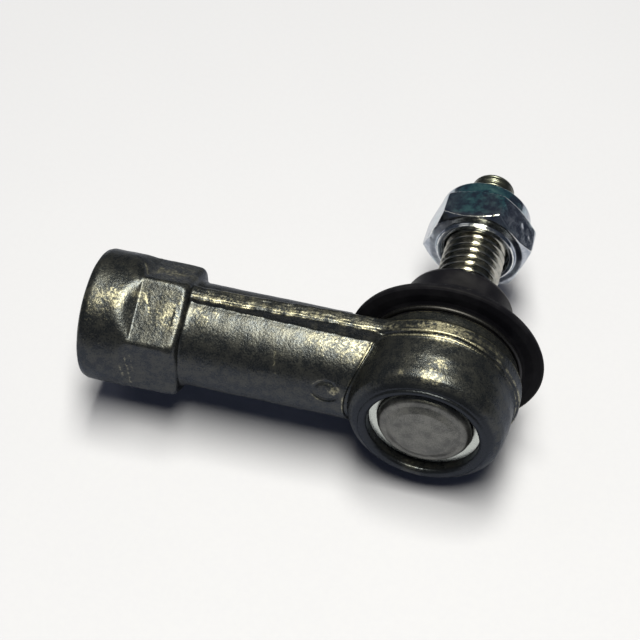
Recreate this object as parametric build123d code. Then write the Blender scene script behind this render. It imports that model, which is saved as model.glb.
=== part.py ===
from build123d import *
import math
import os

# Tie rod end, lying on its side.
# Origin at the ball's centre, +Y along the stud towards its tip, the shank along -X, +Z up.
# All sizes in millimetres. Turned parts are drawn as (radius, height along Y) outlines.

# --- Driving dimensions -------------------------------------------------------------------
BALL_R = 9.0
STUD_R = 6.0               # M12 x 1.75, drawn at its major radius
STUD_NECK_R = 4.7
STUD_SHANK_R = 5.8         # plain stretch inside the boot's neck
STUD_SHOULDER_Y = 13.1     # end of the neck's flare
CLAMP_START_Y = 20.25      # clamped stretch of thread, between the boot and the nut
CLAMP_END_Y = 33.2         # a runout groove parts it from the stretch in the nut
NUT_Y = 33.85              # bearing face of the nut
NUT_THREAD_R = 5.97        # the thread in the nut
STUD_THREAD_END_Y = 48.8
STUD_TIP_Y = 52.2
STUD_TIP_R = 4.2
STUD_TIP_CHAMFER = 0.7

BORE_R = 11.0              # socket bore in the eye
SEAT_GAP = 0.03            # seats in the bore
BALL_GAP = 0.05            # ball in its seats
LIP_R = 10.45              # mouth left by the rolled lip
LIP_UNDERSIDE_Y = -9.9

FLANGE_R = 15.8            # forging's trimmed parting band round the eye
BAND_LOW_Y = -1.4
BAND_HIGH_Y = 1.7
BAND_Z = 11.0              # how far the band stands out on the shank

SHANK_R = 9.9
BOSS_R = 12.6
BOSS_END_X = -65.9
BOSS_SHOULDER_X = -47.3
HEX_FLAT = 22.0            # across flats
HEX_START_X = -56.0        # foot of each flat's sloping end
HEX_RUNOUT_X = -58.3       # where that slope reaches the collar
THREAD_CORE_R = 6.2        # M14 x 1.5 female thread, drawn at its minor radius
THREAD_MOUTH_R = 7.3
THREAD_DEPTH = 37.0
DRILL_POINT = 3.6

NUT_FLAT = 19.0            # across flats
NUT_BORE_R = 6.05
NUT_CORNER_DEG = 9.85      # first corner, from +X towards +Z
NUT_HEX_TOP_Y = 41.2
NUT_TOP_Y = 44.9
INSERT_Y = (41.6, 43.6)
INSERT_R = 7.9
INSERT_GAP = 0.1

BOOT_RIM_R = 18.4
BOOT_RIM_Y = 7.1
BOOT_TOP_Y = 20.1
BOOT_NECK_R = 10.5
BOOT_BORE_R = 6.1
NECK_RING_R = (5.87, 8.2)
NECK_RING_Y = (15.3, 18.1)
NECK_RING_GAP = 0.1
CLAMP_WIRE_R = 0.42
CLAMP_RING_R = 14.42
CLAMP_RING_Y = 5.5

MARK_X = -18.6             # shallow oval press mark on the shank, with a dimple in it
MARK_LEAN_DEG = 14.5
MARK_TOOL_R = 20.0
MARK_DEPTH = 0.2
DIMPLE_X = -17.2
DIMPLE_TOOL_R = 1.3
DIMPLE_DEPTH = 0.3


# --- Helpers ------------------------------------------------------------------------------
def turned(*outline, axis=Axis.Y):
    """Solid of revolution from the closed outline's points."""
    return revolve(make_face(Polyline(*outline, close=True)), axis)


def washer(inner_r, outer_r, low_y, high_y):
    """Flat ring about the Y axis."""
    return turned((inner_r, low_y), (outer_r, low_y), (outer_r, high_y), (inner_r, high_y))


def about_x(angle_deg):
    """Turn about the X axis."""
    return Rot(angle_deg, 0, 0)


# --- Housing: one forging with the eye, the shank and the wrench boss -----------------------
def eye():
    """Eye with its rolled lip, its socket bore and the neck that the boot grips."""
    return turned(
        (9.9, 8.2), (12.5, 8.2), (12.8, 7.95), (12.8, 7.65), (12.3, 7.4), (12.3, 4.9),
        (14.0, 4.9), (14.3, 4.6), (14.5, BAND_HIGH_Y + 0.2), (FLANGE_R, BAND_HIGH_Y - 0.3),
        (FLANGE_R, BAND_LOW_Y + 0.3), (15.1, BAND_LOW_Y), (14.9, -5.0), (14.5, -10.0),
        (14.1, -10.9), (13.5, -11.3), (12.0, -12.4), (11.4, -12.6), (10.8, -12.5),
        (LIP_R, -12.1), (LIP_R, LIP_UNDERSIDE_Y), (BORE_R, LIP_UNDERSIDE_Y),
        (BORE_R, 5.6), (8.6, 5.6),
    )


def shank():
    """Round shank and the parting band along both of its sides."""
    length = -BOSS_SHOULDER_X
    rod = Pos(-length / 2, 0, 0) * Rot(0, 90, 0) * Cylinder(SHANK_R, length)
    band_height = BAND_HIGH_Y - BAND_LOW_Y
    band = Pos(-length / 2, BAND_LOW_Y + band_height / 2, 0) * Box(length, band_height, 2 * BAND_Z)
    return rod + band


def boss():
    """Round collar at the open end, with six wrench flats that run out into it."""
    body = turned(
        (BOSS_END_X, 0), (BOSS_END_X, 10.6), (BOSS_END_X + 0.6, 12.0),
        (BOSS_END_X + 2.0, BOSS_R), (BOSS_SHOULDER_X - 1.0, BOSS_R), (BOSS_SHOULDER_X, 11.8),
        (BOSS_SHOULDER_X, 10.6), (BOSS_SHOULDER_X + 0.8, SHANK_R), (BOSS_SHOULDER_X + 0.8, 0),
        axis=Axis.X,
    )
    flat = HEX_FLAT / 2
    above = BOSS_R + 1.0
    slope_end_x = HEX_START_X + (HEX_RUNOUT_X - HEX_START_X) * (above - flat) / (BOSS_R - flat)
    side = Polyline(
        (BOSS_SHOULDER_X + 2, flat), (HEX_START_X, flat),
        (slope_end_x, above), (BOSS_SHOULDER_X + 2, above), close=True,
    )
    cutter = extrude(make_face(side), BOSS_R, both=True)
    for corner in range(6):
        body -= about_x(corner * 60) * cutter
    return body


def rod_bore():
    """Tapped hole for the tie rod, with its countersunk mouth and drill point."""
    end_x = BOSS_END_X + THREAD_DEPTH
    mouth_depth = THREAD_MOUTH_R - THREAD_CORE_R
    return turned(
        (BOSS_END_X - 1, 0), (BOSS_END_X - 1, THREAD_MOUTH_R), (BOSS_END_X, THREAD_MOUTH_R),
        (BOSS_END_X + mouth_depth, THREAD_CORE_R), (end_x, THREAD_CORE_R),
        (end_x + DRILL_POINT, 0), axis=Axis.X,
    )


def press_mark():
    """Shallow oval mark and its dimple, on the shank's side that faces away from the stud."""
    oval = Pos(MARK_X, -(SHANK_R - MARK_DEPTH + MARK_TOOL_R), 0) * Sphere(MARK_TOOL_R)
    dimple_y = -(SHANK_R - MARK_DEPTH - DIMPLE_DEPTH + DIMPLE_TOOL_R)
    dimple = Pos(DIMPLE_X, dimple_y, 0) * Sphere(DIMPLE_TOOL_R)
    return about_x(-MARK_LEAN_DEG) * (oval + dimple)


def boot_relief():
    """Room turned out of the shank round the eye's neck, so that the boot's rim clears it."""
    rim_room_r = BOOT_RIM_R + 0.6
    return turned(
        (0, 4.9), (15.1, 4.9), (15.6, 5.9), (18.3, 6.3), (rim_room_r, 7.0), (rim_room_r, 20), (0, 20),
    )


def housing():
    socket_room = washer(0, BORE_R + 1.0, -14, 20)
    arm = shank() + boss() - press_mark() - boot_relief() - socket_room
    return eye() + arm - rod_bore()


# --- Socket: seats, spring, cover and ring --------------------------------------------------
def upper_seat():
    outer = BORE_R - SEAT_GAP
    ring = turned((4, 0.15), (outer, 0.15), (outer, 5.57), (8.4, 5.57), (7.75, 4.62), (4, 4.62))
    return ring - Sphere(BALL_R + BALL_GAP)


def lower_seat():
    outer = BORE_R - SEAT_GAP
    cup = turned(
        (2.4, -0.15), (outer, -0.15), (outer, -7.8), (10.5, -8.05), (7.2, -8.05),
        (7.2, -9.4), (6.9, -9.7), (2.4, -9.7),
    )
    return cup - Sphere(BALL_R + BALL_GAP)


def preload_spring():
    """Coned disc spring between the lower seat and the cover."""
    return turned((3.2, -9.75), (6.4, -10.35), (6.4, -10.95), (3.2, -10.35))


def cover_plug():
    """Pressed cap: a flange in the bore and a raised flat-topped centre."""
    flange_r = BORE_R - SEAT_GAP
    return turned(
        (0, -11.0), (6.6, -11.0), (7.5, -10.2), (7.5, -8.1), (flange_r, -8.1),
        (flange_r, -9.08), (8.72, -9.08), (8.72, -10.5), (8.5, -11.0), (7.4, -12.15),
        (6.8, -12.45), (0, -12.45),
    )


def retaining_ring():
    """Flat ring between the cover's flange and the rolled lip."""
    return washer(8.85, BORE_R - SEAT_GAP, LIP_UNDERSIDE_Y + 0.02, -9.12)


# --- Stud, boot and nut ---------------------------------------------------------------------
def ball_stud():
    tip_edge_r = STUD_TIP_R - STUD_TIP_CHAMFER
    stem = turned(
        (0, 0), (STUD_NECK_R, 0), (STUD_NECK_R, STUD_SHOULDER_Y - 1.2),
        (STUD_SHANK_R, STUD_SHOULDER_Y), (STUD_SHANK_R, CLAMP_START_Y), (STUD_R, CLAMP_START_Y),
        (STUD_R, CLAMP_END_Y), (STUD_SHANK_R, CLAMP_END_Y), (STUD_SHANK_R, NUT_Y - 0.05),
        (NUT_THREAD_R, NUT_Y - 0.05), (NUT_THREAD_R, STUD_THREAD_END_Y - 1.5),
        (STUD_TIP_R, STUD_THREAD_END_Y), (STUD_TIP_R, STUD_TIP_Y - STUD_TIP_CHAMFER),
        (tip_edge_r, STUD_TIP_Y), (0, STUD_TIP_Y),
    )
    return Sphere(BALL_R) + stem


def dust_boot():
    """Rubber boot: lower lip on the eye's neck, wide rim, and the neck round the stud."""
    ring_low = NECK_RING_Y[0] - NECK_RING_GAP
    ring_high = NECK_RING_Y[1] + NECK_RING_GAP
    ring_r = NECK_RING_R[1] + NECK_RING_GAP
    return turned(
        (BOOT_BORE_R, BOOT_TOP_Y), (9.5, BOOT_TOP_Y), (10.1, BOOT_TOP_Y - 0.3),
        (BOOT_NECK_R, BOOT_TOP_Y - 1.0), (BOOT_NECK_R + 0.1, 15.0), (11.3, 13.0), (13.4, 11.0),
        (16.2, 9.3), (18.0, 8.2), (18.45, 7.7), (BOOT_RIM_R, BOOT_RIM_Y), (18.2, 6.7),
        (16.4, 6.45), (13.9, 6.25), (13.9, 5.05), (12.4, 5.0), (12.4, 7.15), (13.2, 7.4),
        (15.9, 8.0), (12.3, 10.0), (10.0, 12.0), (9.0, 13.6), (8.2, 14.5), (BOOT_BORE_R, 14.5),
        (BOOT_BORE_R, ring_low), (ring_r, ring_low), (ring_r, ring_high),
        (BOOT_BORE_R, ring_high),
    )


def boot_clamp_ring():
    """Round wire ring that holds the boot's lower lip."""
    section = Pos(CLAMP_RING_R, CLAMP_RING_Y) * Circle(CLAMP_WIRE_R)
    return revolve(section, Axis.Y)


def boot_neck_ring():
    """Steel ring inside the boot's neck, a running fit on the stud."""
    return washer(NECK_RING_R[0], NECK_RING_R[1], NECK_RING_Y[0], NECK_RING_Y[1])


def lock_nut():
    """Hexagon nut with chamfered ends and a collar that holds the locking insert."""
    hexagon = Plane.XZ * RegularPolygon(NUT_FLAT / 2, 6, major_radius=False)
    prism = Pos(0, NUT_Y, 0) * Rot(0, -NUT_CORNER_DEG, 0) * extrude(hexagon, -(NUT_HEX_TOP_Y - NUT_Y))
    envelope = turned(
        (0, NUT_Y), (9.1, NUT_Y), (11.3, NUT_Y + 1.27), (11.3, NUT_HEX_TOP_Y - 1.0),
        (9.5, NUT_HEX_TOP_Y), (0, NUT_HEX_TOP_Y),
    )
    collar = turned(
        (0, 40.5), (9.2, 40.5), (9.3, 43.5), (8.9, 44.3), (8.2, 44.75), (7.4, NUT_TOP_Y), (0, NUT_TOP_Y),
    )
    groove_r = INSERT_R + INSERT_GAP
    hollow = turned(
        (0, NUT_Y - 1), (6.6, NUT_Y - 1), (6.6, NUT_Y), (NUT_BORE_R, NUT_Y + 0.6),
        (NUT_BORE_R, INSERT_Y[0] - INSERT_GAP), (groove_r, INSERT_Y[0] - INSERT_GAP),
        (groove_r, INSERT_Y[1] + INSERT_GAP), (6.9, INSERT_Y[1] + INSERT_GAP), (6.9, 46), (0, 46),
    )
    return (prism & envelope) + collar - hollow


def nut_insert():
    """Nylon locking ring inside the nut's collar."""
    return washer(NUT_BORE_R, INSERT_R, INSERT_Y[0], INSERT_Y[1])


PARTS = {
    "housing": housing,
    "upper_seat": upper_seat,
    "lower_seat": lower_seat,
    "preload_spring": preload_spring,
    "cover_plug": cover_plug,
    "retaining_ring": retaining_ring,
    "ball_stud": ball_stud,
    "dust_boot": dust_boot,
    "boot_clamp_ring": boot_clamp_ring,
    "boot_neck_ring": boot_neck_ring,
    "lock_nut": lock_nut,
    "nut_insert": nut_insert,
}

os.makedirs("parts", exist_ok=True)
for name, make in PARTS.items():
    export_step(make(), f"parts/{name}.step")
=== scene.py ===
import math
import bmesh
import bpy
import numpy as np
from mathutils import Matrix, Vector


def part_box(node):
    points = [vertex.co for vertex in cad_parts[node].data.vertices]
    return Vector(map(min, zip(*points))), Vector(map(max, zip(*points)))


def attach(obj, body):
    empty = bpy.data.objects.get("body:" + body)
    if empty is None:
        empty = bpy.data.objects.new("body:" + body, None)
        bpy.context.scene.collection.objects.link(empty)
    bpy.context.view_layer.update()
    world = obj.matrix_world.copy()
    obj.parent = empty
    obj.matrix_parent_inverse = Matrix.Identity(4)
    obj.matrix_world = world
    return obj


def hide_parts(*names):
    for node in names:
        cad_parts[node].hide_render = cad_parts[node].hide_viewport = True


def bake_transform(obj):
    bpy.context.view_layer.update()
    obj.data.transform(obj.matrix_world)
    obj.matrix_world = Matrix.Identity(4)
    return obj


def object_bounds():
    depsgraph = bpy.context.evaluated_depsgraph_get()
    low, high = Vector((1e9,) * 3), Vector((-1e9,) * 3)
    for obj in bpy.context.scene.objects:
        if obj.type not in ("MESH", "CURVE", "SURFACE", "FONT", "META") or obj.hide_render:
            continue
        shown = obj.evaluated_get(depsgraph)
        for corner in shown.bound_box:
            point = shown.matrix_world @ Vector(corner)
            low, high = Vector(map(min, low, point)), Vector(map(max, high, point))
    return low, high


# Looks of the tie rod end. Shapes are worked out in millimetres and scaled to metres as they become
# meshes.
# +Y is along the stud towards its tip, -X along the shank to its open end, +Z up.

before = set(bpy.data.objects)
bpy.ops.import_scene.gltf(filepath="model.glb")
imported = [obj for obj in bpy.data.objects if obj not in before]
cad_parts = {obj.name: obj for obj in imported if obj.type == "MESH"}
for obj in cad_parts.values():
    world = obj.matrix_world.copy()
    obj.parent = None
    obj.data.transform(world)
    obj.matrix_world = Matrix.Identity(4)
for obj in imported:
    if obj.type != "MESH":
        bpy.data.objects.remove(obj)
cad_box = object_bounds()

MM = 0.001


def span(node):
    """Lowest and highest corner of a CAD node, in millimetres."""
    low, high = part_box(node)
    return low / MM, high / MM


housing_low, _ = span("housing")
_, stud_high = span("ball_stud")
_, boot_high = span("dust_boot")
nut_low, nut_high = span("lock_nut")
cover_low, _ = span("cover_plug")
ring_low, ring_high = span("retaining_ring")
wire_low, wire_high = span("boot_clamp_ring")
insert_low, insert_high = span("nut_insert")

# --- Dimensions, in millimetres -----------------------------------------------------------
BOSS_END_X = housing_low.x     # open end of the part
BOSS_SHOULDER_X = -47.3
BOSS_FACE_X = -46.75           # where the wrench flats end, towards the shank
BOSS_R = 12.48
SKIRT_X = (-48.5, -45.7)       # cone that leads from the flats down to the shank
SKIRT_R = 10.15                # its radius where x is SKIRT_R_X
SKIRT_R_X = -46.9
RIDGE_X = -46.05               # faint ridge round the foot of the cone
HEX_APOTHEM = 11.0
HEX_START_X = -55.8            # the flats run out into the collar from here
HEX_RISE = 0.6                 # and this steeply
SHANK_LOWER_R = 9.9            # the two dies left slightly different radii
SHANK_UPPER_R = 9.6
ROD_THREAD_R = 6.2             # minor radius of the tapped hole
ROD_THREAD_DEEP = 0.75
ROD_PITCH = 1.5
ROD_DEPTH = 37.0
ROD_PLAIN_END = 4              # the last stretch of the hole has no thread
ROD_MOUTH_R = 7.6

PARTING_Y = -0.5               # parting line on the shank
EYE_PARTING_Y = -1.55          # and round the eye
BAND_Z = (10.9, 12.2)          # band's half width at the boss and at the eye
SEAM_R = 15.35                 # where the shank's lower face steps down to the barrel
EYE_WALL_R = 14.6              # inside this radius the shank stays under the boot's lip
BOOT_LIP_Y = 4.8
RIM_ROOM_R = 19.0              # inside this radius it is cut back to give the boot's rim room
RIM_ROOM_Y = 6.3
RIM_ROOM_SLOPE = 0.09

BALL_R = stud_high.x
BALL_FLAT_Y = -8.2             # the ball is flattened on the cover's side
STUD_TIP_Y = stud_high.y
STUD_NECK_R = 4.7
STUD_SEAT_R = 5.75             # plain stretch in the boot's neck
STUD_R = 5.97
STUD_PITCH = 1.75
STUD_THREAD_DEEP = 1.02
STUD_THREAD_Y = (20.4, 46.9)
TURNING_MARKS_MM = (0.36, 0.49)    # spacing of the tool marks on the tip

NUT_Y = nut_low.y
NUT_TOP_Y = nut_high.y
NUT_APOTHEM = 9.5
NUT_CORNER_DEG = 9.85          # the nut's turn about the stud, to one of its corners
NUT_HEX_TOP_Y = 41.2
NUT_POCKET_Y = 42.6            # middle of the pocket that holds the insert
NUT_POCKET_HALF = 1.1
NUT_POCKET_R = 8.0
NUT_OPENING_R = 6.9
THREAD_GAP = 0.13

BOOT_SEAM_Y = 9.3              # the boot is two meshes, which meet at this height


# --- Distance fields ----------------------------------------------------------------------
def union(a, b, fillet):
    """Union of two distance fields, with a fillet of about that size."""
    mix = np.clip(0.5 + 0.5 * (b - a) / fillet, 0, 1)
    return b + (a - b) * mix - fillet * mix * (1 - mix)


def common(a, b, rounding):
    """Intersection of two distance fields, with edges rounded by about that size."""
    return -union(-a, -b, rounding)


def minus(a, b, rounding):
    """Field a with b cut out of it."""
    return common(a, -b, rounding)


def ramp(value, low, high):
    """Smooth step from 0 at low to 1 at high."""
    t = np.clip((value - low) / (high - low), 0, 1)
    return t * t * (3 - 2 * t)


def bell(value, width):
    """Bell curve, 1 at 0."""
    return np.exp(-(value / width) ** 2)


def outline(u, v, points):
    """Signed distance to a closed outline in a plane, negative inside."""
    nearest = np.full(np.broadcast(u, v).shape, 1e6, np.float32)
    inside = np.zeros(nearest.shape, bool)
    for (u0, v0), (u1, v1) in zip(points, points[1:] + points[:1]):
        du, dv = u1 - u0, v1 - v0
        along = np.clip(((u - u0) * du + (v - v0) * dv) / (du * du + dv * dv), 0, 1)
        nearest = np.minimum(nearest, (u - u0 - along * du) ** 2 + (v - v0 - along * dv) ** 2)
        if v0 != v1:
            inside ^= ((v0 > v) != (v1 > v)) & (u < du * (v - v0) / dv + u0)
    return np.where(inside, -1, 1) * np.sqrt(nearest)


def profile(corners, step=0.05, margin=1.5):
    """Distance field of an outline with rounded corners, tabulated so that it's quick to look up.

    Past the table's margin the distance to the table is added, which is near enough there.
    """
    points = arc_outline(corners)
    low = np.min(points, 0) - margin
    size = ((np.max(points, 0) + margin - low) / step).astype(int) + 2
    grid = np.meshgrid(*[low[k] + step * np.arange(size[k]) for k in (0, 1)], indexing="ij")
    table = outline(*grid, points).astype(np.float32)

    def field(u, v):
        place = [np.clip((w - low[k]) / step, 0, size[k] - 1.001) for k, w in enumerate((u, v))]
        whole = [p.astype(int) for p in place]
        (i, j), (s, t) = whole, [p - w for p, w in zip(place, whole)]
        near = table[i, j] * (1 - s) + table[i + 1, j] * s
        far = table[i, j + 1] * (1 - s) + table[i + 1, j + 1] * s
        beyond = [np.maximum(np.abs(w - low[k] - step * size[k] / 2) - step * size[k] / 2, 0)
                  for k, w in enumerate((u, v))]
        return near * (1 - t) + far * t + np.hypot(*beyond)
    return field


def thread_depth(phase):
    """Depth of a vee thread, 0 on its crest and 1 at its root, from the phase in turns."""
    off_crest = np.abs(phase - np.round(phase))
    return ramp(off_crest, 0.05, 0.42)


def hexagon(u, v, apothem, first_normal_deg):
    """Distance to a regular hexagon's sides."""
    sides = [math.radians(first_normal_deg + 60 * k) for k in range(6)]
    return np.maximum.reduce([u * math.cos(a) + v * math.sin(a) for a in sides]) - apothem


# --- Meshes -------------------------------------------------------------------------------
CUBE = [(i, j, k) for i in (0, 1) for j in (0, 1) for k in (0, 1)]


def surface_net(values):
    """Vertices, in grid steps, and quads of the surface where the sampled field changes sign."""
    inside = values < 0
    size = np.array(values.shape) - 1
    filled = sum(
        inside[i:i + size[0], j:j + size[1], k:k + size[2]].astype(np.int8) for i, j, k in CUBE
    )
    cells = np.argwhere((filled > 0) & (filled < 8))
    index = np.full(size, -1)
    index[tuple(cells.T)] = np.arange(len(cells))
    return cell_points(values, cells), crossing_quads(inside, index)


def cell_points(values, cells):
    """A point in each cell: the mean of the places where its edges cross the surface."""
    total = np.zeros((len(cells), 3))
    count = np.zeros(len(cells))
    for axis in range(3):
        for corner in CUBE:
            if corner[axis]:
                continue
            start = cells + corner
            end = start.copy()
            end[:, axis] += 1
            a, b = values[tuple(start.T)], values[tuple(end.T)]
            crossed = (a < 0) != (b < 0)
            point = start.astype(float)
            point[:, axis] += np.where(crossed, a / np.where(crossed, a - b, 1), 0)
            total[crossed] += point[crossed]
            count += crossed
    return total / count[:, None]


def crossing_quads(inside, index):
    """A quad round each grid edge that crosses the surface, through the points of its four cells."""
    quads = []
    for axis in range(3):
        one, other = np.eye(3, dtype=int)[(axis + 1) % 3], np.eye(3, dtype=int)[(axis + 2) % 3]
        starts = np.argwhere(inside != np.roll(inside, -1, axis))
        fits = (starts > 0).all(1) & (starts < index.shape).all(1)
        starts = starts[fits]
        around = [index[tuple((starts - d).T)] for d in (0 * one, one, one + other, other)]
        quad = np.stack(around, 1)
        flip = inside[tuple(starts.T)]
        quads.append(np.where(flip[:, None], quad, quad[:, ::-1]))
    return np.concatenate(quads)


def gradient(field, points, reach):
    """Slope of a field at some points."""
    slopes = []
    for axis in range(3):
        shift = np.zeros(3)
        shift[axis] = reach
        slopes.append(field(*(points + shift).T) - field(*(points - shift).T))
    return np.stack(slopes, 1) / (2 * reach)


def bulge(field, points, reach):
    """How convex the surface is: above 0 on outer edges and below 0 in inner corners."""
    around = -6 * field(*points.T)
    for axis in range(3):
        shift = np.zeros(3)
        shift[axis] = reach
        around += field(*(points + shift).T) + field(*(points - shift).T)
    return around / reach


def shade_smooth(mesh):
    mesh.polygons.foreach_set("use_smooth", np.ones(len(mesh.polygons), bool))


def add_mesh(name, points, faces, material, **attributes):
    """Object from points in millimetres, with one float attribute for each keyword."""
    mesh = bpy.data.meshes.new(name)
    mesh.from_pydata((points * MM).tolist(), [], faces)
    shade_smooth(mesh)
    for key, values in attributes.items():
        stored = mesh.attributes.new(key, "FLOAT", "POINT")
        stored.data.foreach_set("value", np.asarray(values, np.float32))
    mesh.materials.append(material)
    mesh.update()
    made = bpy.data.objects.new(name, mesh)
    bpy.context.scene.collection.objects.link(made)
    return made


def field_mesh(name, field, low, high, step, material, detail, rub_highlight_film_at, worn_share):
    """Meshes a distance field over a box, then adds the surface detail along its normals.

    Its attributes are wear (rubbed outer edges), hollow (inner corners) and a third that holds rubbed
    places with painted highlights and the lip's painted shade on the forging, and the plating's film on
    the nut.
    """
    axes = [np.arange(a, b + step, step, dtype=np.float32) for a, b in zip(low, high)]
    values = field(*np.meshgrid(*axes, indexing="ij", sparse=True))
    points, faces = surface_net(values)
    points = points * step + np.array(low)
    for _ in range(3):                 # Newton steps onto the surface
        slope = gradient(field, points, 0.02)
        squared_length = np.maximum((slope ** 2).sum(1), 0.25)
        pull = field(*points.T) / squared_length
        points -= np.clip(pull, -step / 2, step / 2)[:, None] * slope
    slope = gradient(field, points, 0.05)
    normals = slope / np.linalg.norm(slope, axis=1)[:, None]
    edges = bulge(field, points, 0.45)
    wear = np.clip(edges - 0.15, 0, 1.5) * worn_share(points)
    hollow = np.clip(-edges - 0.1, 0, 1.5)
    polish = rub_highlight_film_at(points)
    points += detail(points)[:, None] * normals
    return add_mesh(name, points, faces.tolist(), material, wear=wear, hollow=hollow, polish=polish)


def ripple(points, size, seed, waves=28):
    """Smooth random relief of about -1 to 1 with features of that size."""
    chance = np.random.default_rng(seed)
    total = np.zeros(len(points))
    for _ in range(waves):
        direction = chance.normal(size=3)
        direction *= 2 * math.pi / (size * chance.uniform(1.3, 2.6)) / np.linalg.norm(direction)
        total += np.sin(points @ direction + chance.uniform(0, 2 * math.pi))
    return total / math.sqrt(waves)


def dent(points, centre, depth, size):
    """How deep a small round dent is at each point."""
    return depth * bell(np.linalg.norm(points - centre, axis=1), size)


def line_distance(points, start, end):
    """Distance of points to the line between two places."""
    start, along = np.array(start), np.subtract(end, start)
    share = np.clip((points - start) @ along / (along @ along), 0, 1)
    return np.linalg.norm(points - start - share[:, None] * along, axis=1)


def arc_outline(corners, arc_points=7):
    """Points of a closed outline from (radius, y, fillet) corners."""
    points = []
    for k, (u, v, fillet) in enumerate(corners):
        here = np.array((u, v))
        before = np.array(corners[k - 1][:2]) - here
        after = np.array(corners[(k + 1) % len(corners)][:2]) - here
        if fillet <= 0:
            points.append(here)
            continue
        a, b = before / np.linalg.norm(before), after / np.linalg.norm(after)
        half = math.acos(max(-1.0, min(1.0, float(a @ b)))) / 2
        back = min(fillet / math.tan(half), np.linalg.norm(before) / 2, np.linalg.norm(after) / 2)
        start, end = here + a * back, here + b * back
        for t in np.linspace(0, 1, arc_points):
            points.append((1 - t) ** 2 * start + 2 * t * (1 - t) * here + t ** 2 * end)
    apart = [np.hypot(*(p - before)) > 1e-4 for p, before in zip(points, points[-1:] + points[:-1])]
    return [p for p, kept in zip(points, apart) if kept]


def turned_mesh(name, corners, material, segments=144, wobble=None):
    """Turned piece about the Y axis from a closed outline. Corners at radius 0 close it."""
    rows = np.array(arc_outline(corners))
    angles = np.linspace(0, 2 * math.pi, segments, endpoint=False)
    radius = np.repeat(rows[:, :1], segments, 1)
    height = np.repeat(rows[:, 1:], segments, 1)
    points = np.stack([radius * np.cos(angles), height, radius * np.sin(angles)], 2).reshape(-1, 3)
    if wobble is not None:
        points = wobble(points)
    grid = np.arange(len(points)).reshape(len(rows), segments)
    below = np.roll(grid, -1, 0)
    faces = np.stack([grid, below, np.roll(below, -1, 1), np.roll(grid, -1, 1)], 2).reshape(-1, 4)
    made = add_mesh(name, points, faces.tolist(), material)
    close_poles(made)
    return made


def close_poles(made):
    """Welds points that coincide on the axis, and points the faces outwards."""
    work = bmesh.new()
    work.from_mesh(made.data)
    bmesh.ops.remove_doubles(work, verts=work.verts, dist=0.002 * MM)
    bmesh.ops.dissolve_degenerate(work, edges=work.edges, dist=0.001 * MM)
    bmesh.ops.recalc_face_normals(work, faces=work.faces)
    work.to_mesh(made.data)
    work.free()
    shade_smooth(made.data)


# --- Materials ----------------------------------------------------------------------------
class Paint:
    """A material under construction: short calls for the nodes that the finishes share."""

    def __init__(self, name):
        self.material = bpy.data.materials.new(name)
        self.material.use_nodes = True
        self.tree = self.material.node_tree
        self.shader = self.tree.nodes["Principled BSDF"]
        self.place = self.tree.nodes.new("ShaderNodeTexCoord").outputs["Object"]

    def link(self, source, target):
        self.tree.links.new(source, target)

    def noise(self, size_mm, detail=2.0, rough=0.5):
        """Noise with features of that size."""
        made = self.tree.nodes.new("ShaderNodeTexNoise")
        made.inputs["Scale"].default_value = 1 / (size_mm * MM)
        made.inputs["Detail"].default_value = detail
        made.inputs["Roughness"].default_value = rough
        self.link(self.place, made.inputs["Vector"])
        return made.outputs["Fac"]

    def stored(self, name):
        """A point attribute of the mesh."""
        made = self.tree.nodes.new("ShaderNodeAttribute")
        made.attribute_name = name
        return made.outputs["Fac"]

    def curve(self, source, low, high, to_low=0.0, to_high=1.0):
        """Maps low..high smoothly to another range."""
        made = self.tree.nodes.new("ShaderNodeMapRange")
        made.interpolation_type = "SMOOTHSTEP"
        for key, value in (
            ("From Min", low), ("From Max", high), ("To Min", to_low), ("To Max", to_high),
        ):
            made.inputs[key].default_value = value
        self.link(source, made.inputs["Value"])
        return made.outputs["Result"]

    def calculate(self, operation, a, b):
        """Sum, difference or product of two values, each a number or a socket."""
        made = self.tree.nodes.new("ShaderNodeMath")
        made.operation = operation
        for key, value in enumerate((a, b)):
            if isinstance(value, (int, float)):
                made.inputs[key].default_value = value
            else:
                self.link(value, made.inputs[key])
        return made.outputs["Value"]

    def add(self, a, b):
        return self.calculate("ADD", a, b)

    def less(self, a, b):
        return self.calculate("SUBTRACT", a, b)

    def times(self, a, b):
        return self.calculate("MULTIPLY", a, b)

    def blend(self, share, a, b):
        """Colour from a at 0 to b at 1."""
        made = self.tree.nodes.new("ShaderNodeMix")
        made.data_type = "RGBA"
        self.link(share, made.inputs["Factor"])
        for key, value in (("A", a), ("B", b)):
            socket = next(s for s in made.inputs if s.name == key and s.type == "RGBA")
            if isinstance(value, tuple):
                socket.default_value = (*value, 1)
            else:
                self.link(value, socket)
        return next(s for s in made.outputs if s.type == "RGBA")

    def finish(self, colour, rough, height, bump_mm, strength, **sockets):
        """Connects the shader and returns the material. Keywords set the shader's other inputs."""
        self.link(colour, self.shader.inputs["Base Color"])
        self.link(rough, self.shader.inputs["Roughness"])
        bump = self.tree.nodes.new("ShaderNodeBump")
        bump.inputs["Distance"].default_value = bump_mm * MM
        bump.inputs["Strength"].default_value = strength
        self.link(height, bump.inputs["Height"])
        self.link(bump.outputs["Normal"], self.shader.inputs["Normal"])
        for key, value in sockets.items():
            self.shader.inputs[key.replace("_", " ").title().replace("Ior", "IOR")].default_value = value
        return self.material


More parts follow.
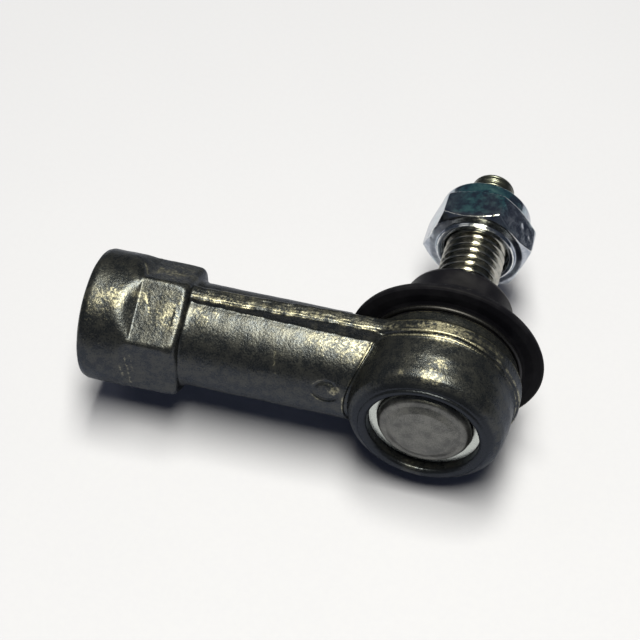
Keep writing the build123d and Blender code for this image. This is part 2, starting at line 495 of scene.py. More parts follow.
def bare_and_highlight_share(p, grain, flake, mottle, patch):
    """How bright the forging is painted: rubbed edges, rubbed places with painted highlights among them,
    and scattered flecks, less in inner corners.
    """
    uneven = p.add(p.add(mottle, patch), p.times(grain, 0.25))
    uneven = p.curve(uneven, 0.9, 1.4, 0.15, 1.5)
    edges = p.times(p.curve(p.stored("wear"), 0.02, 0.9), uneven)
    broken = p.curve(p.add(flake, p.times(mottle, 0.6)), 0.62, 1.0, 0.1, 1.5)
    # Rubbed places, and painted highlights where the lamp's reflection falls.
    places = p.times(p.stored("polish"), broken)
    flecks = p.curve(p.add(flake, p.times(patch, 0.5)), 0.86, 1.1, 0.0, 0.5)
    bare_and_highlight = p.add(p.add(edges, places), flecks)
    return p.less(bare_and_highlight, p.curve(p.stored("hollow"), 0.1, 0.9, 0.0, 0.5))


def forged_steel():
    """Dark scale on forged steel, finely grained, with bright flakes where it has been rubbed and as
    painted highlights, and painted shade on the rolled lip.
    """
    p = Paint("forged_steel")
    grain = p.noise(0.30, 2, 0.6)
    flake = p.noise(0.55, 3, 0.6)
    mottle = p.noise(1.9, 3, 0.55)
    patch = p.noise(7.0, 3, 0.55)
    bare_and_highlight = bare_and_highlight_share(p, grain, flake, mottle, patch)
    cover = p.curve(p.add(grain, mottle), 0.8, 1.2)
    scale = p.blend(cover, (0.030, 0.034, 0.042), (0.056, 0.058, 0.060))
    # Painted shade: the rolled lip's scale is darkened.
    lip_painted_shade = p.curve(p.stored("polish"), -0.7, -0.1, 1.0, 0.0)
    scale = p.blend(lip_painted_shade, scale, (0.024, 0.027, 0.034))
    bright = p.blend(p.curve(grain, 0.3, 0.7), (0.16, 0.153, 0.125), (0.32, 0.307, 0.24))
    colour = p.blend(p.curve(bare_and_highlight, 0.1, 1.0), scale, bright)
    rough = p.curve(p.add(grain, p.times(mottle, 0.6)), 0.5, 1.1, 0.25, 0.39)
    rough = p.add(rough, p.curve(p.stored("polish"), 0.2, 0.8, 0.0, 0.12))
    height = p.add(p.times(grain, 0.35), flake)
    return p.finish(colour, rough, height, 0.10, 0.62, metallic=0.86, specular_tint=(0.5, 0.52, 0.56, 1))


def pressed_steel():
    """Dull grey sheet steel, evenly grained."""
    p = Paint("pressed_steel")
    grain = p.noise(0.18, 3, 0.6)
    cloud = p.noise(2.6, 3, 0.55)
    cover = p.curve(p.add(grain, cloud), 0.75, 1.25)
    colour = p.blend(cover, (0.085, 0.086, 0.086), (0.195, 0.196, 0.188))
    rough = p.curve(cloud, 0.3, 0.7, 0.42, 0.55)
    height = p.add(grain, p.times(cloud, 0.5))
    return p.finish(colour, rough, height, 0.03, 0.6, metallic=1.0)


def bright_steel():
    """Smooth bright steel, slightly cloudy."""
    p = Paint("bright_steel")
    grain = p.noise(0.25, 2, 0.5)
    cloud = p.noise(3.0, 2, 0.5)
    colour = p.blend(cloud, (0.46, 0.49, 0.47), (0.56, 0.59, 0.56))
    rough = p.curve(grain, 0.3, 0.7, 0.24, 0.34)
    return p.finish(colour, rough, grain, 0.01, 0.5, metallic=1.0)


def stud_steel():
    """Rolled and machined steel, faintly yellow, and darker and duller on the tip."""
    p = Paint("stud_steel")
    grain = p.noise(0.5, 2, 0.5)
    cloud = p.noise(2.2, 3, 0.5)
    colour = p.blend(p.curve(cloud, 0.35, 0.65), (0.30, 0.30, 0.275), (0.45, 0.44, 0.40))
    rough = p.curve(p.add(grain, cloud), 0.7, 1.3, 0.12, 0.22)
    tip = p.curve(p.stored("crest"), -1.0, -0.2, 1.0, 0.0)
    colour = p.blend(tip, colour, (0.105, 0.112, 0.100))
    rough = p.add(rough, p.times(tip, 0.16))
    return p.finish(colour, rough, grain, 0.012, 0.5, metallic=1.0)


def zinc_plate():
    """Blue-white zinc, cloudy, with a blue-green film in places and bright edges."""
    p = Paint("zinc_plate")
    grain = p.noise(0.25, 3, 0.6)
    cloud = p.noise(1.6, 4, 0.6)
    drift = p.noise(6.0, 2, 0.5)
    film = p.times(p.stored("polish"), p.curve(cloud, 0.3, 0.65, 0.3, 1.3))
    film = p.add(film, p.curve(drift, 0.5, 0.7, 0.0, 0.25))
    plain = p.blend(p.curve(cloud, 0.35, 0.65), (0.29, 0.32, 0.38), (0.46, 0.49, 0.54))
    tinted = p.blend(p.curve(cloud, 0.35, 0.65), (0.16, 0.44, 0.50), (0.36, 0.74, 0.72))
    colour = p.blend(p.curve(film, 0.0, 1.0), plain, tinted)
    edges = p.times(p.curve(p.stored("wear"), 0.2, 1.0), p.curve(grain, 0.3, 0.6))
    colour = p.blend(edges, colour, (0.86, 0.87, 0.86))
    rough = p.curve(p.add(grain, cloud), 0.7, 1.3, 0.10, 0.22)
    return p.finish(colour, rough, cloud, 0.02, 0.5, metallic=1.0)


def boot_rubber(name, rough_low, gloss):
    """Black rubber, slightly cloudy. A lower gloss gives weaker reflections."""
    p = Paint(name)
    grain = p.noise(0.30, 3, 0.6)
    cloud = p.noise(4.0, 3, 0.55)
    colour = p.blend(p.curve(cloud, 0.4, 0.75), (0.003, 0.003, 0.005), (0.007, 0.007, 0.010))
    rough = p.curve(p.add(grain, cloud), 0.7, 1.3, rough_low, rough_low + 0.12)
    return p.finish(colour, rough, p.add(grain, cloud), 0.03, 0.5, specular_ior_level=gloss)


def spring_steel():
    """Dark drawn wire."""
    p = Paint("spring_steel")
    grain = p.noise(0.2, 2, 0.5)
    colour = p.blend(grain, (0.020, 0.020, 0.023), (0.040, 0.040, 0.044))
    rough = p.curve(grain, 0.3, 0.7, 0.40, 0.52)
    return p.finish(colour, rough, grain, 0.01, 0.5, metallic=1.0)


def moulded(name, dark, light):
    """Moulded plastic between two shades."""
    p = Paint(name)
    grain = p.noise(0.35, 3, 0.6)
    cloud = p.noise(3.0, 2, 0.5)
    colour = p.blend(cloud, dark, light)
    rough = p.curve(grain, 0.3, 0.7, 0.40, 0.52)
    return p.finish(colour, rough, grain, 0.02, 0.5)


FORGED = forged_steel()
PRESSED = pressed_steel()
BRIGHT = bright_steel()
STUD = stud_steel()
ZINC = zinc_plate()
RIM_RUBBER = boot_rubber("rim_rubber", 0.50, 0.05)
NECK_RUBBER = boot_rubber("neck_rubber", 0.36, 0.15)
SPRING = spring_steel()
ACETAL = moulded("acetal", (0.70, 0.69, 0.62), (0.80, 0.79, 0.72))
NYLON = moulded("nylon", (0.05, 0.25, 0.28), (0.10, 0.38, 0.40))


# --- Housing ------------------------------------------------------------------------------
# Corners are (radius, height, fillet). For the boss they are (x, radius, fillet).
EYE = profile([
    (-1.0, 8.2, 0), (12.5, 8.2, 0.2), (12.8, 7.9, 0.1), (12.3, 7.3, 0.1), (12.3, 4.9, 0.1),
    (14.1, 4.9, 0.25), (14.4, 4.3, 0.4), (14.5, 2.5, 0.5), (14.9, 1.8, 0.4), (15.6, 1.45, 0.35),
    (15.7, -1.35, 0.15), (15.3, -1.6, 0.08), (15.25, -2.0, 0.2), (14.93, -2.25, 0.2),
    (14.95, -6.0, 4.0), (14.5, -9.5, 2.5), (14.1, -10.75, 1.2), (13.5, -11.35, 0.5),
    (12.3, -12.3, 0.1), (12.1, -12.15, 0.1), (11.85, -12.62, 0.15), (11.4, -12.68, 0.2),
    (10.9, -12.5, 0.2), (10.42, -12.05, 0.2), (10.42, -9.0, 0), (-1.0, -9.0, 0),
])
SOCKET = profile([
    (-3.0, -16.0, 0), (10.42, -16.0, 0), (10.42, -9.95, 0), (11.0, -9.95, 0), (11.0, 5.6, 0),
    (8.6, 5.6, 0), (9.9, 8.2, 0), (9.9, 11.0, 0), (-3.0, 11.0, 0),
])
BOSS = profile([
    (BOSS_END_X, -1.0, 0), (BOSS_END_X, 11.4, 0.4), (BOSS_END_X + 0.35, 12.1, 0.6),
    (BOSS_END_X + 1.3, BOSS_R, 1.0), (HEX_START_X, BOSS_R + 0.08, 1.0),
    (-49.6, BOSS_R, 1.5), (-46.4, 12.1, 0.5), (-45.6, 9.3, 0.3), (-45.6, -1.0, 0),
])
# The band's section, from its face at 0 inwards: sheared face above, burr, then the dark flank.
BAND = profile([
    (-4.0, 4.5, 0), (-2.2, 3.5, 0.4), (-0.4, 2.4, 0.3), (0.0, 1.9, 0.2), (0.04, 0.9, 0.5),
    (-0.04, -0.42, 0.06), (-0.22, -0.56, 0.04), (-0.25, -0.8, 0.1), (-2.55, -1.75, 0.3),
    (-4.0, -2.4, 0), (-5.5, 0.0, 0),
])


def arm(x, y, z):
    """Shank, and the band left along both of its sides where the dies parted."""
    around = np.hypot(y, z)
    middle = (SHANK_LOWER_R + SHANK_UPPER_R) / 2
    shank = around - middle - (SHANK_LOWER_R - SHANK_UPPER_R) / 2 * np.tanh(-y / 1.5)
    to_eye = ramp(x, BOSS_SHOULDER_X, -11.0)
    wide = BAND_Z[0] + (BAND_Z[1] - BAND_Z[0]) * to_eye
    wander = 0.05 * np.sin(x * 0.9) + 0.04 * np.sin(x * 2.3 + 1.0)
    both = union(shank, BAND(np.abs(z) - wide, y - wander), 0.2)
    hidden_end = BOSS_SHOULDER_X - 3           # inside the boss; the other end is at the ball
    return np.maximum(both, np.maximum(x, hidden_end - x))


def boss(x, y, z):
    """Round collar at the open end, with six wrench flats that run out into it."""
    run_out = HEX_RISE * np.maximum(HEX_START_X - x, 0)
    flats = (hexagon(y, z, HEX_APOTHEM, 0) - run_out) / np.where(x < HEX_START_X, 1.17, 1.0)
    around = np.hypot(y, z)
    softened = 0.22 + 0.55 * ramp(HEX_START_X - x, 0.1, 0.9)
    hexagonal = common(BOSS(x, around), flats, softened)
    end_face = (x - BOSS_FACE_X + (around - 10.0) * 0.15) * 0.98       # slightly conical
    cone = around - SKIRT_R + (x - SKIRT_R_X) * 0.6
    skirt = np.maximum(np.maximum(x - SKIRT_X[1], SKIRT_X[0] - x), cone)
    ridge = 0.14 * bell(x - RIDGE_X, 0.22)
    return union(common(hexagonal, end_face, 1.1), skirt, 0.25) - ridge


def rod_hole(x, y, z):
    """Tapped hole for the tie rod, its countersunk mouth and its drill point."""
    around = np.hypot(y, z)
    depth = x - BOSS_END_X
    threaded = ramp(ROD_DEPTH - ROD_PLAIN_END - depth, 0.0, 1.0)
    turn = depth / ROD_PITCH + np.arctan2(z, y) / (2 * math.pi)
    wall = ROD_THREAD_R + ROD_THREAD_DEEP * threaded * (1 - thread_depth(turn))
    hole = np.maximum(around - wall, depth - ROD_DEPTH - (ROD_THREAD_R - around) * 0.6)
    mouth = (around + depth - ROD_MOUTH_R) * 0.7
    return np.minimum(hole, mouth)


def press_marks(x, y, z):
    """Oval press mark with its dimple, and the flattened ground that they stand in."""
    lean = math.radians(14.5)
    across = z * math.cos(lean) + y * math.sin(lean)
    facing = ramp(-y, 2.0, 6.0)
    oval = np.hypot((x + 18.75) / 2.35, across / 1.95)
    dimple = np.hypot(x + 17.35, across - 0.75)
    ground = np.hypot((x + 18.0) / 6.0, (across - 0.2) / 4.1)
    sunk = 0.18 * ramp(-ground, -1.5, -0.4) + 0.30 * bell(oval - 1.0, 0.15)
    return facing * (sunk + 0.10 * ramp(-oval, -1.0, -0.8) - 0.12 * ramp(-dimple, -1.25, -0.95))


def parting_height(x, z):
    """Height of the dies' parting line, which rises from the eye to the shank and wanders a little."""
    angle = np.arctan2(x, np.abs(z))
    wander = 0.13 * np.sin(3.1 * angle + 1.3) + 0.07 * np.sin(9.7 * angle)
    return EYE_PARTING_Y + wander + (PARTING_Y - EYE_PARTING_Y) * ramp(-x, 5.0, 11.5)


def rod_side(x, y, z, around_y, parting_y):
    """Boss, shank and band, stepped down along the seam, and cut back under the boot."""
    lower = ramp(parting_y - y, 0.5, 1.6)
    seam = 0.30 * lower * ramp(SEAM_R - around_y, -0.08, 0.10)
    rim = 0.12 * lower * bell(around_y - SEAM_R - 0.15, 0.24)
    whole = union(boss(x, y, z), arm(x, y, z), 0.3) + press_marks(x, y, z) + seam - rim
    rim_room = np.maximum(RIM_ROOM_R - around_y, 0) * RIM_ROOM_SLOPE + RIM_ROOM_Y
    uncut = -9.0
    cleared = np.maximum(whole, np.where(around_y < RIM_ROOM_R, y - rim_room, uncut))
    return np.where(around_y < EYE_WALL_R, np.maximum(cleared, y - BOOT_LIP_Y), cleared)


def housing_field(x, y, z):
    """The whole forging: eye joined to the rod's side, parting groove, socket and tapped hole."""
    around_y = np.hypot(x, z)
    parting_y = parting_height(x, z)
    fillet = 0.35 + 1.5 * ramp(y - parting_y, 0.1, 1.0) * ramp(6.2 - y, 0.0, 1.5)
    eye = EYE(around_y, y - (parting_y - EYE_PARTING_Y) * bell(y + 1.5, 1.5))
    solid = union(eye, rod_side(x, y, z, around_y, parting_y), fillet)
    at_edge = ramp(around_y - EYE_WALL_R, 0.0, 0.5) * ramp(x, -13.0, -9.0)
    solid = solid + 0.38 * at_edge * bell(y - parting_y, 0.15)
    hollowed = minus(solid, SOCKET(around_y, y), 0.12)
    return minus(hollowed, rod_hole(x, y, z), 0.1)


def forged_relief(points):
    """Undulation, sheared flash, scratches and small dents of the forging, on its outside only."""
    x, y, z = points.T
    from_y, from_x = np.hypot(x, z), np.hypot(y, z)
    open_side = ramp(from_x, 8.0, 9.0) + ramp(from_y, 12.5, 13.5) * (np.abs(x) < 17)
    open_side = np.clip(open_side, 0, 1) * ramp(from_y, 10.8, 11.2)
    relief = 0.030 * ripple(points, 5.0, 1) + 0.014 * ripple(points, 1.8, 2)
    sheared = bell(np.abs(y - 0.9), 1.4) * ramp(np.maximum(from_y - 15.1, np.abs(z) - 10.4), 0, 0.4)
    sheared = sheared * (x > BOSS_SHOULDER_X + 0.6)
    relief += 0.035 * sheared * ripple(points * (0.3, 3.0, 3.0), 0.8, 4)
    for start, end, strength in SCRATCHES:
        relief -= 0.05 * strength * bell(line_distance(points, start, end), 0.25)
    chance = np.random.default_rng(7)
    for _ in range(110):
        centre = points[chance.integers(len(points))]
        size, depth = chance.uniform(0.25, 0.8), chance.uniform(0.02, 0.07)
        relief -= dent(points, centre, depth, size)
    return relief * open_side


# Places painted brighter than the rest, some rubbed wear and some painted highlights where the lamp's
# reflection falls on the barrel, shank and boss: (x, y, z, reach, strength).
RUBBED_AND_HIGHLIGHTS = [
    (-1.5, -0.5, 15.4, 2.2, 1.0), (2.0, -0.4, 15.3, 2.4, 1.0), (1.6, -7.4, 14.5, 1.5, 0.7),
    (0.6, -10.9, 14.4, 2.0, 0.8), (-5.0, -10.3, 13.8, 0.8, 0.7), (-49.0, -3.0, 12.2, 1.6, 0.35),
    (-55.2, -3.6, 12.0, 1.5, 0.8), (-60.0, -4.0, 12.0, 2.0, 0.5), (-17.3, -9.3, 3.3, 1.2, 1.0),
    (-8.1, 1.7, 12.3, 0.35, 1.0), (-1.5, -12.5, -11.5, 2.2, 0.6), (-13.0, -3.5, 9.3, 1.5, 0.5),
    (-58.9, -5.8, 11.1, 1.3, 0.35), (-51.5, 5.5, 9.5, 5.0, 0.50), (-49.2, -5.5, 9.5, 2.6, 0.28),
    (-51.5, -5.5, 9.5, 4.5, 0.22), (-62.8, -6.5, 10.7, 3.2, 0.45), (-15.6, -3.2, 9.3, 3.2, 0.45),
    (-21.5, -3.0, 9.3, 3.6, 0.35), (-43.8, -3.2, 9.3, 2.4, 0.40), (-28.5, -3.0, 9.3, 4.0, 0.16),
]


# Scratches left by tools and handling: (start, end, strength).
SCRATCHES = [
    ((-56.5, -11.4, 2.6), (-55.8, -11.0, -4.8), 0.55), ((-55.7, -11.0, 3.6), (-55.3, -11.0, -1.2), 0.4),
    ((-57.4, -11.9, 0.6), (-57.0, -11.7, -2.4), 0.4), ((-53.8, -11.0, -1.6), (-51.5, -11.0, 0.2), 0.3),
    ((-55.6, 1.8, 11.8), (-57.2, 4.8, 10.8), 0.6), ((-54.3, 3.0, 11.0), (-54.6, 6.0, 9.3), 0.4),
    ((-54.5, -2.6, 11.2), (-53.9, -4.2, 10.3), 0.5), ((-53.6, -4.6, 10.0), (-53.2, -5.6, 9.5), 0.7),
    ((-29.0, -6.6, 7.4), (-28.7, -8.4, 5.2), 0.4), ((-15.6, -9.7, 2.0), (-15.5, -9.9, -0.6), 0.5),
]


def rubbed_and_highlight_places(points):
    """How bright each place is painted: rubbed wear, scratches and the sheared band, with painted
    highlights among the rubbed places. It's below 0 on the rolled lip, which the forging's material
    paints darker as shade.
    """
    total = np.zeros(len(points))
    for x, y, z, reach, strength in RUBBED_AND_HIGHLIGHTS:
        total += strength * bell(np.linalg.norm(points - (x, y, z), axis=1), reach)
    x, y, z = points.T
    sheared = ramp(y, -0.7, -0.3) * ramp(-y, -2.0, -1.5) * ramp(np.abs(z), 10.4, 10.7) * (x > -46.5)
    burr = bell(y - PARTING_Y - 0.3, 0.55) * sheared
    for start, end, strength in SCRATCHES:
        total += strength * bell(line_distance(points, start, end), 0.24)
    total += (0.20 + 0.10 * ramp(-y, -1.1, -0.3)) * sheared + 0.15 * burr
    # The rolled lip goes below 0, which the forging's material paints as shade.
    lip = ramp(-y, 11.2, 12.0) * ramp(x, -17.0, -16.0)
    return np.clip(total, 0, 1) - 0.7 * lip


def handled_edges(points):
    """How much each region's edges have been rubbed: little at the lip and seam, which stand back."""
    x, y, z = points.T
    lip = ramp(-y, 11.0, 11.8) * ramp(x, -17.0, -16.0)
    eye_side = ramp(-y, 1.9, 2.2) * ramp(x, -20.0, -16.0)
    run_out = ramp(-x, -HEX_START_X + 0.1, -HEX_START_X + 0.7) * ramp(x, -63.5, -62.5)
    share = 1 - 0.85 * lip - 0.65 * eye_side * (1 - lip) - 0.35 * ramp(-x, 45.0, 46.0) - run_out
    return np.clip(share, 0, 1)


def make_housing():
    """Forging with the eye, the shank and the boss."""
    low = (BOSS_END_X - 0.8, housing_low.y - 1.0, -16.8)
    high = (16.8, BOSS_R + 0.9, 16.8)
    made = field_mesh("housing_forging", housing_field, low, high, 0.22, FORGED, forged_relief,
                      rubbed_and_highlight_places, handled_edges)
    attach(made, "housing")
    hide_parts("housing")


make_housing()


# --- Socket closure -----------------------------------------------------------------------
def make_cover():
    """Pressed cap with a raised flat centre."""
    top = cover_low.y
    made = turned_mesh("socket_cover", [
        (0, top + 1.2, 0), (6.5, top + 1.2, 0.4), (7.6, -10.2, 0.4), (7.6, -8.15, 0),
        (10.9, -8.15, 0.1), (10.9, -9.06, 0.1), (8.72, -9.08, 0.25), (8.72, -10.7, 0.7),
        (8.05, top + 0.76, 0.9), (7.0, top + 0.68, 0.9), (5.7, top, 0.9), (0, top, 0),
    ], PRESSED)
    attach(made, "housing")
    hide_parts("cover_plug")


def make_retaining_ring():
    """Flat ring between the cover and the eye's rolled lip."""
    made = turned_mesh("retaining_washer", [
        (8.95, ring_low.y, 0.05), (8.95, ring_high.y, 0.08), (10.92, ring_high.y, 0.05),
        (10.92, ring_low.y, 0.0), (10.37, ring_low.y, 0.0), (10.37, ring_low.y - 0.32, 0.05),
    ], BRIGHT)
    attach(made, "housing")
    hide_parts("retaining_ring")


def make_clamp_wire():
    """Wire ring on the boot's lower lip, open where its two ends nearly meet."""
    wire_r = (wire_high.y - wire_low.y) / 2
    ring_r = wire_high.x - wire_r
    mid_y = (wire_high.y + wire_low.y) / 2
    around, across = 180, 14
    gap = math.radians(4)
    turn = np.linspace(math.radians(-110) + gap, math.radians(250) - gap, around)
    thick = np.full(around, wire_r)
    thick[[0, -1]] *= math.sqrt(0.02)          # both ends are pointed
    round_wire = np.linspace(0, 2 * math.pi, across, endpoint=False)
    reach = ring_r + thick[:, None] * np.cos(round_wire)
    lift = mid_y + thick[:, None] * np.sin(round_wire)
    points = np.stack([
        reach * np.cos(turn)[:, None], lift, reach * np.sin(turn)[:, None],
    ], 2).reshape(-1, 3)
    grid = np.arange(len(points)).reshape(around, across)
    side = np.stack([
        grid[:-1], np.roll(grid, -1, 1)[:-1], np.roll(grid, -1, 1)[1:], grid[1:],
    ], 2).reshape(-1, 4).tolist()
    ends = [grid[0].tolist(), grid[-1][::-1].tolist()]
    wire = add_mesh("clamp_wire", points, side + ends, SPRING)
    close_poles(wire)
    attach(wire, "housing")
    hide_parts("boot_clamp_ring")


make_cover()
make_retaining_ring()
make_clamp_wire()


# --- Stud ---------------------------------------------------------------------------------
def stud_radius(y):
    """Radius of the stud without its thread, from the ball's far side to the tip."""
    ball = np.sqrt(np.maximum(BALL_R ** 2 - np.maximum(y, BALL_FLAT_Y) ** 2, 0))
    ball = np.maximum(ball, np.where(y > 0, STUD_NECK_R, 0))
    neck = np.interp(y, [6.0, 11.9, 13.1, 20.0, 20.4],
                     [STUD_NECK_R, STUD_NECK_R, STUD_SEAT_R, STUD_SEAT_R, STUD_R])
    end = np.interp(y, [46.6, 48.2, STUD_TIP_Y - 0.5, STUD_TIP_Y - 0.15, STUD_TIP_Y],
                    [STUD_R, 4.2, 4.2, 4.0, 3.7])
    one, other = TURNING_MARKS_MM
    turning = np.sin(2 * math.pi * y / one) + np.sin(2 * math.pi * y / other + 1.0)
    end = end + 0.022 * turning * ramp(y, 47.9, 48.3) * ramp(-y, -STUD_TIP_Y + 0.3, -STUD_TIP_Y + 0.6)
    return np.where(y < 7.9, ball, np.where(y < 40.0, neck, end))


def make_stud():
    """Ball, neck, rolled thread and reduced tip in one piece.

    Its attribute crest is 1 on the thread's crests and -1 on the tip.
    """
    segments = 120
    rows = np.concatenate([
        -BALL_R * np.cos(np.linspace(math.radians(24.4), math.radians(149), 60)),
        np.linspace(8.0, 20.2, 62), np.arange(20.3, 47.9, 0.09), np.linspace(47.95, STUD_TIP_Y, 84),
    ])
    angles = np.linspace(0, 2 * math.pi, segments, endpoint=False)
    y, angle = np.meshgrid(rows, angles, indexing="ij")
    thread_start, thread_end = STUD_THREAD_Y
    cut = ramp(y, thread_start - 0.9, thread_start + 0.5) * ramp(-y, -thread_end - 0.9, -thread_end)
    depth = thread_depth(y / STUD_PITCH + angle / (2 * math.pi))
    radius = np.minimum(stud_radius(y), STUD_R - STUD_THREAD_DEEP * cut * depth)
    points = np.stack([radius * np.cos(angle), y, radius * np.sin(angle)], 2).reshape(-1, 3)
    crest = (cut * (1 - depth) - ramp(y, 47.5, 48.3)).ravel()
    grid = np.arange(len(points)).reshape(len(rows), segments)
    side = np.stack([
        grid[:-1], grid[1:], np.roll(grid, -1, 1)[1:], np.roll(grid, -1, 1)[:-1],
    ], 2).reshape(-1, 4)
    points = np.concatenate([points, [(0, rows[0], 0), (0, rows[-1], 0)]])
    first, last = len(points) - 2, len(points) - 1         # the middles of the two end faces
    top = grid[-1, 0]
    caps = [(a, (a + 1) % segments, first) for a in range(segments)]
    caps += [(int(top + (a + 1) % segments), int(top + a), last) for a in range(segments)]
    stud = add_mesh("threaded_stud", points, side.tolist() + caps, STUD, crest=np.append(crest, (0, 0)))
    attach(stud, "stud")
    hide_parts("ball_stud")


make_stud()


# --- Nut ----------------------------------------------------------------------------------
NUT_COLLAR = profile([
    (-1.0, 40.0, 0), (8.9, 40.0, 0), (8.98, NUT_TOP_Y - 0.55, 0.35), (8.35, NUT_TOP_Y, 0.3),
    (7.0, NUT_TOP_Y, 0.2), (-1.0, NUT_TOP_Y, 0),
])
NUT_WASHER = profile([
    (-1.0, NUT_Y - 0.3, 0), (7.6, NUT_Y - 0.3, 0.2), (7.8, NUT_Y + 0.3, 0.3), (7.9, NUT_Y + 1.5, 0),
    (-1.0, NUT_Y + 1.5, 0),
])


def nut_field(x, y, z):
    """Hexagon with both ends chamfered, its collar, the round pad it bears on, and the threaded bore."""
    radius = np.hypot(x, z)
    angles = [math.radians(NUT_CORNER_DEG + 30 + 60 * k) for k in range(6)]
    sides = [x * math.cos(a) + z * math.sin(a) - NUT_APOTHEM for a in angles]
    rounding = 0.22 + 0.45 * ramp(y, NUT_Y + 2.0, NUT_HEX_TOP_Y)
    hexagonal = sides[0]
    for side in sides[1:]:
        hexagonal = common(hexagonal, side, rounding)
    bottom = (NUT_Y + 0.6 - y) * 0.82 + (radius - 9.5) * 0.57
    top = (y - NUT_HEX_TOP_Y - 0.16) * 0.87 + (radius - 9.5) * 0.5
    body = common(common(hexagonal, bottom, 0.10), top, 0.12)
    body = common(body, NUT_Y + 0.5 - y, 0.15)
    solid = union(union(body, NUT_COLLAR(radius, y), 0.4), NUT_WASHER(radius, y), 0.25)
    turn = y / STUD_PITCH + np.arctan2(z, x) / (2 * math.pi)
    bore = radius - (STUD_R + THREAD_GAP - STUD_THREAD_DEEP * 0.9 * thread_depth(turn))
    countersink = (radius - 6.55 + (y - NUT_Y) * 0.9) * 0.75
    pocket = np.maximum(radius - NUT_POCKET_R, np.abs(y - NUT_POCKET_Y) - NUT_POCKET_HALF)
    above = np.maximum(radius - NUT_OPENING_R, NUT_POCKET_Y - y)
    return minus(solid, np.minimum.reduce([bore, countersink, pocket, above]), 0.1)


def nut_relief(points):
    """Slight unevenness, and nicks where a wrench has turned it."""
    relief = 0.012 * ripple(points, 3.0, 21) + 0.006 * ripple(points, 1.0, 22)
    outside = ramp(np.hypot(points[:, 0], points[:, 2]), 8.6, 9.2)
    chance = np.random.default_rng(11)
    for _ in range(26):
        centre = points[chance.integers(len(points))]
        depth, size = chance.uniform(0.02, 0.07), chance.uniform(0.25, 0.6)
        relief -= dent(points, centre, depth, size)
    worn_corner = np.array((-9.6, NUT_Y + 1.4, 1.8))
    for _ in range(9):
        centre = worn_corner + chance.normal(size=3) * (0.7, 0.5, 0.9)
        depth, size = chance.uniform(0.08, 0.18), chance.uniform(0.3, 0.6)
        relief -= dent(points, centre, depth, size)
    return relief * outside


def nut_film(points):
    """How strongly the plating shows blue-green: round the top, and on one corner and flat."""
    x, y, z = points.T
    angle = np.degrees(np.arctan2(z, x))
    corner = bell(angle - NUT_CORNER_DEG - 60, 7.0) * ramp(y, NUT_Y + 1, NUT_HEX_TOP_Y)
    facet = bell(angle - NUT_CORNER_DEG - 92, 22) * ramp(y, NUT_Y + 0.8, NUT_Y + 2.0)
    top = ramp(y, NUT_HEX_TOP_Y - 0.8, NUT_HEX_TOP_Y + 1.5) * bell(angle - 85, 40)
    return np.clip(1.0 * corner + 0.75 * facet + 0.9 * top, 0, 1)


def even_wear(points):
    """The nut's edges are worn alike all round."""
    return np.full(len(points), 0.8)


def make_nut():
    """Hexagon nut with its collar."""
    low = (nut_low.x - 0.6, NUT_Y - 0.6, -11.6)
    high = (nut_high.x + 0.6, NUT_TOP_Y + 0.6, 11.6)
    made = field_mesh("locking_nut", nut_field, low, high, 0.17, ZINC, nut_relief, nut_film, even_wear)
    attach(made, "nut")
    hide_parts("lock_nut")


def make_insert():
    """Locking insert in the nut's collar."""
    made = turned_mesh("locking_insert", [
        (6.1, insert_low.y, 0.15), (insert_high.x, insert_low.y, 0.15),
        (insert_high.x, insert_high.y, 0.15), (6.1, insert_high.y, 0.15),
    ], NYLON)
    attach(made, "insert")
    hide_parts("nut_insert")


make_nut()
make_insert()


# --- Dust boot ----------------------------------------------------------------------------
def boot_wobble(points):
    """The slight unevenness of soft rubber."""
    angle = np.arctan2(points[:, 2], points[:, 0])
    uneven = 0.006 + 0.003 * np.sin(2 * angle + 0.6) + 0.002 * np.sin(5 * angle + 2.0)
    edge = ramp(np.hypot(points[:, 0], points[:, 2]), 9.5, 12.0)
    scale = 1 + uneven * edge
    return points * np.stack([scale, np.ones_like(scale), scale], 1)


def make_boot():
    """Lower half: lip and rim. Upper half: shoulder and neck."""
    top = boot_high.y
    rim = boot_high.x
    lower = turned_mesh("boot_rim", [
        (16.3, BOOT_SEAM_Y, 0), (17.4, 8.62, 0.4), (18.1, 8.1, 0.5), (rim - 0.05, 7.45, 0.4),
        (rim, 6.95, 0.25), (18.05, 6.62, 0.3), (16.6, 6.42, 0.8), (15.0, 6.5, 0.5),
        (14.35, 6.35, 0.3), (13.95, 6.1, 0.3), (13.92, 5.1, 0.15), (12.45, 5.05, 0.15),
        (12.45, 7.1, 0.2), (13.2, 7.4, 0.3), (15.3, 7.75, 0.4), (14.6, 8.55, 0.3),
    ], RIM_RUBBER, wobble=boot_wobble)
    upper = turned_mesh("boot_neck", [
        (16.3, BOOT_SEAM_Y, 0), (14.6, 8.55, 0), (12.4, 10.0, 0.8), (10.0, 12.0, 0.8),
        (9.0, 13.6, 0.5), (8.2, 14.5, 0.4), (6.15, 14.5, 0.1), (6.15, 15.2, 0),
        (8.3, 15.2, 0), (8.3, 18.2, 0), (6.15, 18.2, 0), (6.15, top, 0.3), (9.5, top, 0.4),
        (10.15, top - 0.35, 0.4), (10.45, top - 1.1, 0.4), (10.5, 15.3, 0.8),
        (11.2, 13.2, 1.2), (13.4, 11.15, 1.2),
    ], NECK_RUBBER, wobble=boot_wobble)
    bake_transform(lower)
    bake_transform(upper)
    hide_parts("dust_boot")


make_boot()

# --- Inner pieces keep their CAD shape ----------------------------------------------------
for name, finish in (
    ("upper_seat", ACETAL), ("lower_seat", ACETAL),
    ("preload_spring", SPRING), ("boot_neck_ring", PRESSED),
):
    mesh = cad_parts[name].data
    mesh.materials.clear()
    mesh.materials.append(finish)


# --- Floor, light and camera, in metres ---------------------------------------------------
FLOOR_HALF = 0.17
FLOOR_GAP = 0.0001             # keeps the floor just clear of the part


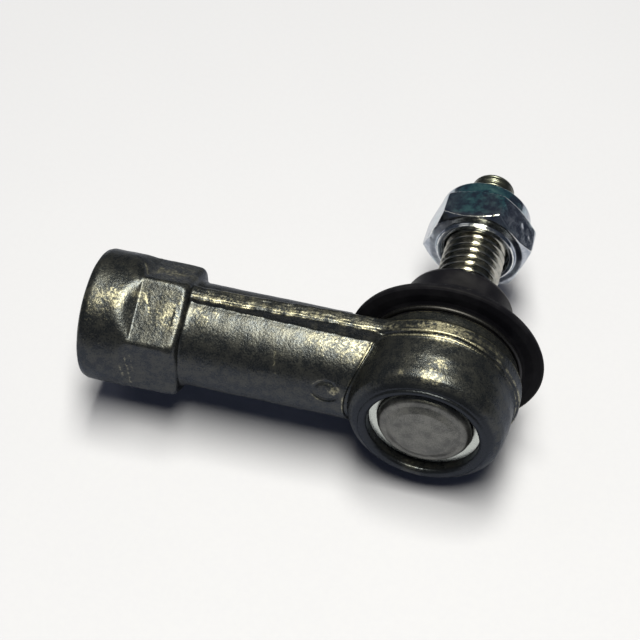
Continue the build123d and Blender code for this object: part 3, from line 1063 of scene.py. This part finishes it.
def make_floor():
    """Plain pale floor under the part's lowest point."""
    half, z = FLOOR_HALF, cad_box[0].z - FLOOR_GAP
    corners = [(-half, -half, z), (half, -half, z), (half, half, z), (-half, half, z)]
    mesh = bpy.data.meshes.new("floor")
    mesh.from_pydata(corners, [], [(0, 1, 2, 3)])
    floor = bpy.data.objects.new("floor", mesh)
    bpy.context.scene.collection.objects.link(floor)
    pale = Paint("floor_pale")
    colour = pale.blend(pale.noise(60.0), (0.322, 0.333, 0.428), (0.334, 0.345, 0.442))
    grain = pale.noise(1.0)
    mesh.materials.append(pale.finish(colour, pale.curve(grain, 0.3, 0.7, 0.7, 0.8), grain, 0.005, 0.2))


def add_light(name, place, size, power, colour):
    """Rectangular soft light that points at the ball. Its second size lies along its own Y."""
    lamp = bpy.data.lights.new(name, "AREA")
    lamp.shape = "RECTANGLE"
    lamp.size, lamp.size_y = size
    lamp.energy = power
    lamp.color = colour
    holder = bpy.data.objects.new(name, lamp)
    bpy.context.scene.collection.objects.link(holder)
    holder.location = place
    holder.rotation_euler = (-Vector(place)).to_track_quat("-Z", "Y").to_euler()


def make_world():
    """Dark bluish surroundings, which the camera sees as a pale backdrop past the floor."""
    world = bpy.data.worlds.new("studio")
    bpy.context.scene.world = world
    world.use_nodes = True
    tree = world.node_tree
    shown = tree.nodes["Background"]
    shown.inputs["Color"].default_value = BACKDROP
    lighting = tree.nodes.new("ShaderNodeBackground")
    lighting.inputs["Color"].default_value = SURROUNDINGS
    path = tree.nodes.new("ShaderNodeLightPath")
    mix = tree.nodes.new("ShaderNodeMixShader")
    tree.links.new(path.outputs["Is Camera Ray"], mix.inputs["Fac"])
    tree.links.new(lighting.outputs["Background"], mix.inputs[1])
    tree.links.new(shown.outputs["Background"], mix.inputs[2])
    tree.links.new(mix.outputs["Shader"], tree.nodes["World Output"].inputs["Surface"])


BACKDROP = (0.86, 0.86, 0.86, 1)
SURROUNDINGS = (0.055, 0.064, 0.082, 1)

CAMERA_AZIMUTH_DEG = 14.287
CAMERA_ELEVATION_DEG = 48.888
CAMERA_ROLL_DEG = 0.826
CAMERA_DISTANCE = 0.36558
CAMERA_ASIDE = (0.02148, 0.01162)  # the ball's centre is this far right of and below the middle
CAMERA_LENS_MM = 111.83
SENSOR_MM = 36


def make_camera():
    """The photo's view: azimuth is counted from -Y, and roll is about the line of sight."""
    azimuth = math.radians(CAMERA_AZIMUTH_DEG)
    elevation = math.radians(CAMERA_ELEVATION_DEG)
    roll = math.radians(CAMERA_ROLL_DEG)
    level_share = math.cos(elevation)
    back = Vector((
        math.sin(azimuth) * level_share, -math.cos(azimuth) * level_share, math.sin(elevation),
    ))
    level = (-back).cross(Vector((0, 0, 1))).normalized()
    upright = level.cross(-back)
    right = math.cos(roll) * level + math.sin(roll) * upright
    up = math.cos(roll) * upright - math.sin(roll) * level
    place = Matrix((right, up, back)).transposed().to_4x4()
    place.translation = back * CAMERA_DISTANCE - right * CAMERA_ASIDE[0] + up * CAMERA_ASIDE[1]
    camera = bpy.data.objects.new("camera", bpy.data.cameras.new("camera"))
    camera.data.sensor_width = SENSOR_MM
    camera.data.lens = CAMERA_LENS_MM
    camera.data.clip_start = 0.01
    camera.matrix_world = place
    bpy.context.scene.collection.objects.link(camera)
    bpy.context.scene.camera = camera


make_floor()
add_light("overhead", (0.02, -0.07, 0.80), (0.23, 0.68), 20.0, (1.0, 0.955, 0.73))
add_light("beside", (-0.52, 0.05, 0.62), (0.20, 0.30), 0.22, (1.0, 0.95, 0.84))
make_world()
make_camera()
bpy.context.scene.view_settings.view_transform = "Standard"
